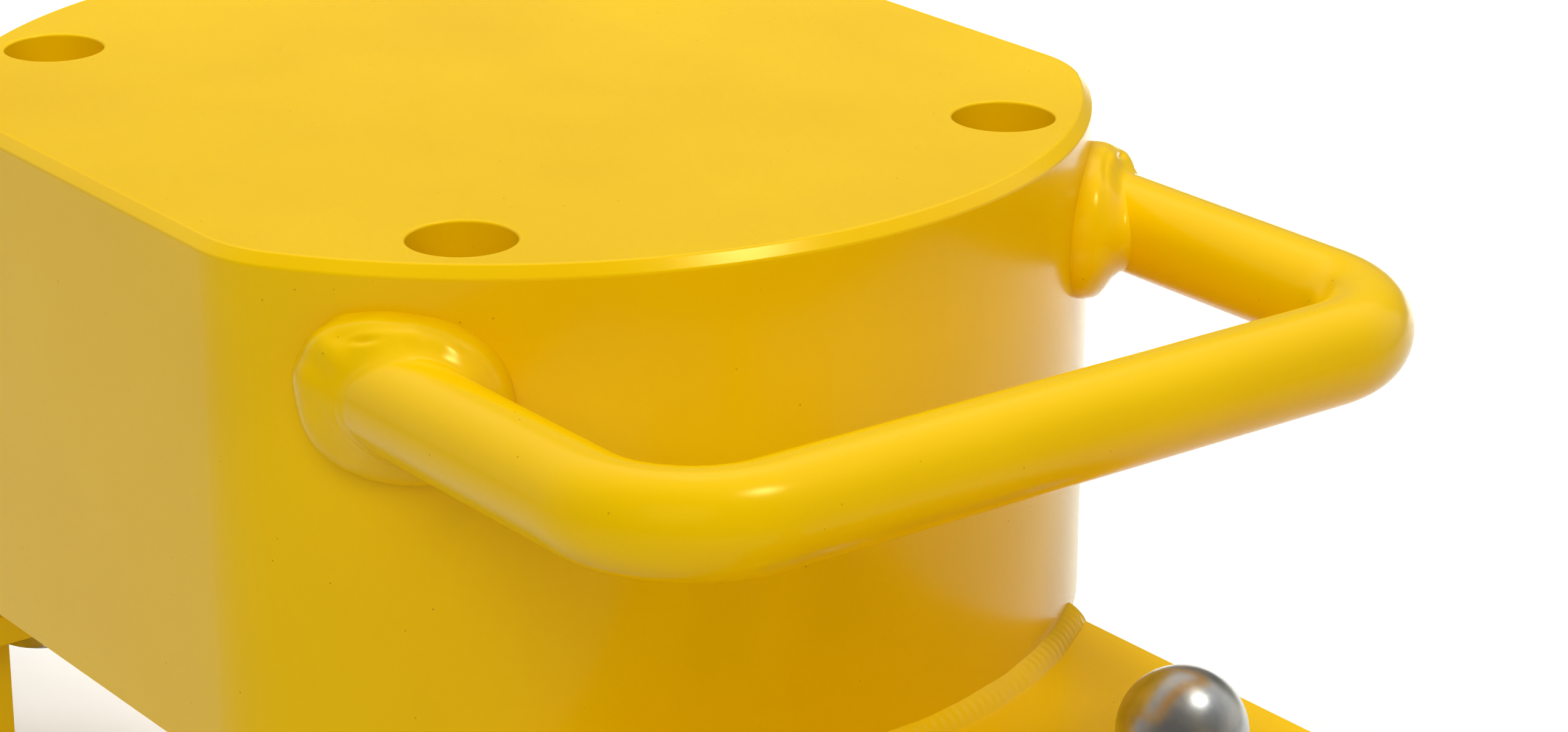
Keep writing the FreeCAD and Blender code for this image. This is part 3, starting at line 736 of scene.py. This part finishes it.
def make_beam_welds():
    """Seams between flange and hollow section, round the lugs, and at the gussets."""
    leg = 4.5 * MM
    end = BOX_HIGH[0] - 6 * MM
    seams = []
    for sy in (-1, 1):
        y = sy * BOX_HIGH[1]
        seams.append(((-end, y, BOX_HIGH[2]), (end, y, BOX_HIGH[2]), (0, sy * leg, 0), (0, 0, -leg)))
    make_straight_beads("flange_seam_beads", seams)

    lug = LUG_HIGH[1]
    for side, sx in (("right", 1), ("left", -1)):
        runs = []
        root, tip = sx * (LUG_LOW[0] + 3 * MM), sx * (FLANGE_HIGH[0] - 3 * MM)
        for sy in (-1, 1):
            y = sy * lug
            runs.append(((root, y, FLANGE_HIGH[2]), (tip, y, FLANGE_HIGH[2]), (0, sy * leg, 0), (0, 0, leg)))
        cap_low, cap_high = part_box("end_caps_" + side)
        face = cap_high[0] if sx > 0 else cap_low[0]
        for sy in (-1, 1):
            y = sy * lug
            low, high = cap_low[2] + 4 * MM, cap_high[2] - 4 * MM
            runs.append(((face, y, low), (face, y, high), (sx * leg, 0, 0), (0, sy * leg, 0)))
        make_straight_beads("lug_beads_" + side, runs)

    leg = 3 * MM
    thick = 8 * MM
    for side in ("right", "left"):
        low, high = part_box("flange_gussets_" + side)
        runs = []
        for x in (low[0], low[0] + thick, high[0] - thick, high[0]):
            outside = -1 if x in (low[0], high[0] - thick) else 1
            for sy in (-1, 1):
                start, stop = sy * (BOX_HIGH[1] + 6 * MM), sy * (FLANGE_HIGH[1] - 9 * MM)
                z = BOX_HIGH[2]
                runs.append(((x, start, z), (x, stop, z), (outside * leg, 0, 0), (0, 0, -leg)))
        make_straight_beads("gusset_beads_" + side, runs)


def round_bead(centre, radius, side, leg):
    """A fillet bead round a boss whose axis is Y; side is the way the boss points."""
    count = int(2 * math.pi * radius / BEAD_STEP)
    turns = [2 * math.pi * step / count for step in range(count + 1)]
    away = [Vector((math.cos(t), 0, math.sin(t))) for t in turns]
    path = [Vector(centre) + out * radius for out in away]
    return bead_mesh(path, lambda i: away[i] * leg, lambda i: Vector((0, side * leg, 0)), 3.0)


def make_cheek_beads():
    """Beads round the reinforcing cheeks of the sling eyes and the load eyes."""
    for side in ("right", "left"):
        beads = []
        for node, leg in (("sling_cheeks_", 3.5 * MM), ("load_cheeks_", 2 * MM)):
            low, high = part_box(node + side)
            radius = (high[0] - low[0]) / 2
            x, z = (low[0] + high[0]) / 2, low[2] + radius
            for way in (-1, 1):
                place = (x, way * LUG_HIGH[1], z)
                beads.append(round_bead(place, radius, way, leg))
        piece = add_piece("cheek_beads_" + side, *merged(beads), PAINT, smooth_angle=60)
        outward(piece.data)


def make_leg_beads():
    """Beads round the tops of the posts, under the leg plates."""
    leg = 4 * MM
    for side in ("right", "left"):
        low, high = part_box("leg_posts_" + side)
        half = (high[0] - low[0]) / 2
        x = (low[0] + high[0]) / 2
        z = high[2]
        inset = half - 3 * MM
        runs = []
        for way in (-1, 1):
            y = way * (high[1] - half)
            for turn in (-1, 1):
                start, end = (x - inset, y + turn * half, z), (x + inset, y + turn * half, z)
                runs.append((start, end, (0, turn * leg, 0), (0, 0, -leg)))
                start, end = (x + turn * half, y - inset, z), (x + turn * half, y + inset, z)
                runs.append((start, end, (turn * leg, 0, 0), (0, 0, -leg)))
        make_straight_beads("leg_post_beads_" + side, runs)


# --- fasteners ----------------------------------------------------------------------

def hex_reach(angle, across):
    """Distance from a hexagon's middle to its side, in a direction."""
    local = (angle + math.pi / 6) % (math.pi / 3) - math.pi / 6
    return across / 2 / math.cos(local)


def hex_rings(across, height, chamfer_low, chamfer_high, columns=120):
    """Rings of a hexagon whose corners are turned off at one or both ends."""
    corner = across / math.sqrt(3)
    face = across / 2 * 0.97
    drop = (corner - face) * math.tan(math.radians(30))
    rings = []
    count = 9
    lows = [drop * step / count for step in range(count + 1)] if chamfer_low else [0.0]
    highs = [height - drop * (1 - step / count) for step in range(count + 1)] if chamfer_high else [height]
    for z in lows + highs:
        limit = corner + 1
        if chamfer_low:
            limit = min(limit, face + z / math.tan(math.radians(30)))
        if chamfer_high:
            limit = min(limit, face + (height - z) / math.tan(math.radians(30)))
        ring = []
        for step in range(columns):
            angle = 2 * math.pi * step / columns
            ring.append((min(hex_reach(angle, across), limit), angle, z))
        rings.append(ring)
    return rings


def round_rings(profile, columns=120):
    """Rings of a turned shape; profile is (radius, height) pairs."""
    return [[(r, 2 * math.pi * step / columns, z) for step in range(columns)] for r, z in profile]


def revolve(rings, origin, axis):
    """Points and faces of rings stacked along an axis from an origin, closed at both ends."""
    axis = Vector(axis)
    side = Vector((1, 0, 0))
    other = axis.cross(side)
    verts = []
    for ring in rings:
        for r, angle, z in ring:
            spoke = side * (r * math.cos(angle))
            verts.append(Vector(origin) + spoke + other * (r * math.sin(angle)) + axis * z)
    return verts, tube_faces(len(rings), len(rings[0]))


def joined(name, parts, material, body, replaced, smooth_angle=28):
    """One piece from several closed parts, standing for a CAD node."""
    verts, faces = merged(parts)
    piece = add_piece(name, verts, faces, material, body, smooth_angle)
    outward(piece.data)
    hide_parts(replaced)
    return piece


def middle_and_box(node):
    """A node's middle along X, and the two corners of its box."""
    low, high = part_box(node)
    return (low[0] + high[0]) / 2, low, high


def dome_profile(radius, start, top):
    """A neck and a round cap, from a start height to the top."""
    centre = top - radius
    profile = [(radius, start), (radius, centre)]
    for step in range(1, 19):
        turn = math.pi / 2 * step / 18
        profile.append((max(radius * math.cos(turn), 0.05 * MM), centre + radius * math.sin(turn)))
    return profile


def make_leg_fasteners():
    """Domed nuts and hexagon bolts of the storage legs."""
    across = 36 * MM
    neck = 17 * MM
    nut_hexagon = 19 * MM
    bolt_head = 15 * MM
    shank = 12 * MM
    for side in ("right", "left"):
        x, low, high = middle_and_box("domed_nuts_" + side)
        half_pitch = (high[1] - low[1]) / 2 - across / 2
        nuts = []
        for sy in (-1, 1):
            base = (x, sy * half_pitch, low[2])
            rings = hex_rings(across, nut_hexagon, False, True)
            dome = dome_profile(neck, nut_hexagon + 0.5 * MM, high[2] - low[2])
            rings += round_rings([(neck + 0.3 * MM, nut_hexagon), *dome])
            nuts.append(revolve(rings, base, (0, 0, 1)))
        joined("domed_nut_pair_" + side, nuts, ZINC, "beam", "domed_nuts_" + side)

        x, low, high = middle_and_box("leg_bolts_" + side)
        bolts = []
        for sy in (-1, 1):
            base = (x, sy * half_pitch, low[2])
            rings = hex_rings(across, bolt_head, True, False)
            rings += round_rings([(shank, bolt_head), (shank, high[2] - low[2])])
            bolts.append(revolve(rings, base, (0, 0, 1)))
        joined("hexagon_bolt_pair_" + side, bolts, ZINC, "beam", "leg_bolts_" + side)


def make_shackle_fasteners():
    """Bolt and nut of each load shackle."""
    across = 32 * MM
    bolt_head = 14 * MM
    shank = 11 * MM
    for side in ("right", "left"):
        body = "shackle_" + side
        bolt_low, bolt_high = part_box("shackle_bolt_" + side)
        x, z = (bolt_low[0] + bolt_high[0]) / 2, (bolt_low[2] + bolt_high[2]) / 2
        rings = hex_rings(across, bolt_head, True, False)
        length = bolt_high[1] - bolt_low[1]
        tip = 1.5 * MM
        rings += round_rings([(shank, bolt_head), (shank, length - tip), (shank - tip, length)])
        bolt = revolve(rings, (x, bolt_low[1], z), (0, 1, 0))
        joined(
            "shackle_bolt_forged_" + side, [bolt], GALVANISED, body, "shackle_bolt_" + side,
        )

        nut_low, nut_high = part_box("shackle_nut_" + side)
        height = nut_high[1] - nut_low[1]
        nut = revolve(hex_rings(across, height, True, True), (x, nut_low[1], z), (0, 1, 0))
        joined(
            "shackle_nut_chamfered_" + side, [nut], GALVANISED, body, "shackle_nut_" + side,
        )


def make_split_pins():
    """Split pins: one flattened wire folded into two legs and a ring eye, with its tips bent apart."""
    for side, sx in (("right", 1), ("left", -1)):
        low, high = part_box("split_pin_" + side)
        y, z = (low[1] + high[1]) / 2, (low[2] + high[2]) / 2
        bolt_low, bolt_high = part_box("shackle_bolt_" + side)
        x = (bolt_low[0] + bolt_high[0]) / 2
        reach = 17 * MM
        eye = 5 * MM
        wire = 1.5 * MM
        path = [(-reach + 1 * MM, 6.5 * MM), (-reach + 1.6 * MM, 3.5 * MM), (-reach + 4 * MM, 1.3 * MM)]
        path += [(-8 * MM, 1.0 * MM), (0, 1.0 * MM), (reach - 2 * MM, 1.0 * MM)]
        for step in range(1, 16):
            turn = math.pi * (1 - step / 16)
            path.append((reach + eye + (eye - wire) * math.cos(turn), (eye - wire) * math.sin(turn)))
        lower = [(px, -pz) for px, pz in reversed(path)]
        line = path + [(reach + 2 * eye - wire, 0.0)] + lower
        points = [Vector((x + sx * px, y, z + pz)) for px, pz in line]
        columns = 12
        verts = []
        for index, place in enumerate(points):
            ahead = points[min(index + 1, len(points) - 1)] - points[max(index - 1, 0)]
            ahead.normalize()
            side_way = Vector((0, 1, 0))
            other = ahead.cross(side_way)
            for step in range(columns):
                turn = 2 * math.pi * step / columns
                flat = 0.75 * wire * math.sin(turn)
                verts.append(place + side_way * (wire * math.cos(turn)) + other * flat)
        faces = tube_faces(len(points), columns)
        joined(
            "split_pin_bent_" + side, [(verts, faces)], STEEL, "shackle_" + side, "split_pin_" + side,
            smooth_angle=60,
        )


# --- feet and rating plate ----------------------------------------------------------

def make_foot_pads():
    """Moulded pads: a rounded square with a shallow groove round it."""
    # The higher the power, the squarer the outline.
    power = 7.0
    for side in ("right", "left"):
        low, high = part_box("foot_pads_" + side)
        x = (low[0] + high[0]) / 2
        half = (high[0] - low[0]) / 2
        middle = (high[1] - low[1]) / 2 - half
        pads = []
        for sy in (-1, 1):
            profile = [(half - 1.2 * MM, 0.0), (half, 1.2 * MM), (half, 3.2 * MM)]
            profile += [(half - 1.4 * MM, 4.0 * MM), (half - 1.4 * MM, 5.0 * MM)]
            profile += [(half, 5.8 * MM), (half, high[2] - 1.4 * MM)]
            profile += [(half - 0.4 * MM, high[2] - 0.4 * MM), (half - 1.4 * MM, high[2])]
            rings = []
            for reach, z in profile:
                ring = []
                for step in range(96):
                    angle = 2 * math.pi * step / 96
                    square = (abs(math.cos(angle)) ** power + abs(math.sin(angle)) ** power) ** (-1 / power)
                    ring.append((reach * square, angle, z))
                rings.append(ring)
            pads.append(revolve(rings, (x, sy * middle, low[2]), (0, 0, 1)))
        joined(
            "foot_pad_pair_" + side, pads, RUBBER, "beam", "foot_pads_" + side,
            smooth_angle=40,
        )


def make_rating_rivets():
    """Four domed rivets on the blank plate."""
    low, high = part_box("rating_rivets")
    radius = 2.2 * MM
    parts = []
    for x in (low[0] + radius, high[0] - radius):
        for z in (low[2] + radius, high[2] - radius):
            profile = [(radius, 0.0)]
            for step in range(1, 9):
                turn = math.pi / 2 * step / 8
                profile.append((max(radius * math.cos(turn), 0.03 * MM), 1.1 * MM * math.sin(turn)))
            parts.append(revolve(round_rings(profile, 32), (x, high[1], z), (0, -1, 0)))
    joined(
        "rating_rivet_heads", parts, ALUMINIUM, "beam", "rating_rivets",
        smooth_angle=50,
    )


# --- studio -------------------------------------------------------------------------

def make_floor():
    """A wide plain floor that curves up behind, out of sight."""
    half = 9.0
    rise = 3.0
    verts, faces = [], []
    profile = [(-half, 0.0), (half * 0.55, 0.0)]
    for step in range(1, 17):
        turn = math.pi / 2 * step / 16
        profile.append((half * 0.55 + rise * math.sin(turn), rise * (1 - math.cos(turn))))
    profile.append((half * 0.55 + rise, 6.0))
    for away, z in profile:
        verts += [(-half, away, z), (half, away, z)]
    for row in range(len(profile) - 1):
        faces.append((2 * row, 2 * row + 1, 2 * row + 3, 2 * row + 2))
    mesh = bpy.data.meshes.new("studio_floor")
    mesh.from_pydata(verts, [], faces)
    mesh.polygons.foreach_set("use_smooth", [True] * len(mesh.polygons))
    mesh.materials.append(studio_floor_paint())
    floor = bpy.data.objects.new("studio_floor", mesh)
    floor.rotation_euler = (0, 0, math.radians(52.5))
    bpy.context.scene.collection.objects.link(floor)


def add_softbox(name, place, target, size, power, mirrored, spread=180):
    """A square soft box; one that isn't mirrored lights the object but doesn't show in its gloss."""
    light = bpy.data.lights.new(name, "AREA")
    light.shape = "SQUARE"
    light.size = size
    light.energy = power
    light.spread = math.radians(spread)
    lamp = bpy.data.objects.new(name, light)
    lamp.location = place
    lamp.rotation_mode = "QUATERNION"
    lamp.rotation_quaternion = (Vector(target) - Vector(place)).to_track_quat("-Z", "Y")
    lamp.visible_glossy = mirrored
    bpy.context.scene.collection.objects.link(lamp)


def make_lights():
    """A white room, dimmer on the camera's side, with soft boxes in front, above and behind."""
    away = (-0.793, 0.609, 0.0)
    world = bpy.data.worlds.new("white_studio")
    world.use_nodes = True
    tree = world.node_tree
    direction = add_node(tree, "ShaderNodeTexCoord").outputs["Generated"]
    facing = add_node(tree, "ShaderNodeVectorMath", [(0, direction)], operation="DOT_PRODUCT")
    facing.inputs[1].default_value = away
    strength = add_node(
        tree, "ShaderNodeMapRange", [("Value", facing.outputs["Value"])], interpolation_type="SMOOTHSTEP",
        From_Min=-0.7, From_Max=0.7, To_Min=0.14, To_Max=0.74,
    )
    background = tree.nodes["Background"]
    background.inputs["Color"].default_value = linear("#FFFFFF")
    tree.links.new(background.inputs["Strength"], strength.outputs[0])
    bpy.context.scene.world = world

    middle = (0, 0, DRUM_FOOT)
    handle = (HANDLE_REACH, 0, HANDLE_Z)
    add_softbox("front_softbox", (1.45, -1.45, 1.75), middle, 1.5, 29, False)
    add_softbox("overhead_softbox", (-0.3, 0.1, 2.6), middle, 2.2, 5, False)
    add_softbox("floor_softbox", (-1.8, 1.7, 2.6), (-1.8, 1.7, 0), 2.2, 130, False, 95)
    add_softbox("right_high_lamp", (0.97, 0.62, 2.30), handle, 0.4, 11, True)


def make_camera():
    """The camera stands off the handle's corner, a little above it, with a long lens."""
    rim = RIM_TOP - RIM_CHAMFER
    place = Vector((0.9181, -0.6093, rim + 0.3256))
    forward = Vector((-0.7433, 0.5712, -0.3481)).normalized()
    roll = math.radians(0.36)
    level = forward.cross(Vector((0, 0, 1))).normalized()
    above = level.cross(forward)
    right = level * math.cos(roll) + above * math.sin(roll)
    up = above * math.cos(roll) - level * math.sin(roll)
    lens = bpy.data.cameras.new("camera")
    lens.sensor_width = 36.0
    lens.lens = 92.64
    lens.clip_start = 0.01
    camera = bpy.data.objects.new("camera", lens)
    turn = Matrix((right, up, -forward)).transposed().to_4x4()
    camera.matrix_world = Matrix.Translation(place) @ turn
    bpy.context.scene.collection.objects.link(camera)
    bpy.context.scene.camera = camera
    bpy.context.scene.view_settings.view_transform = "Standard"


# --- build --------------------------------------------------------------------------

make_camera()
make_lights()
make_floor()
dress_cad_nodes()
make_drum()
make_drum_foot_weld()
make_handle()
make_handle_weld("handle_bead_near", "handle_weld_near", -1, -24.5 * MM, 20 * MM, 135 * MM, 11.0)
make_handle_weld("handle_bead_far", "handle_weld_far", 1, -20 * MM, 20 * MM, 127 * MM, 31.0)
make_beam_welds()
make_cheek_beads()
make_leg_beads()
make_leg_fasteners()
make_shackle_fasteners()
make_split_pins()
make_foot_pads()
make_rating_rivets()
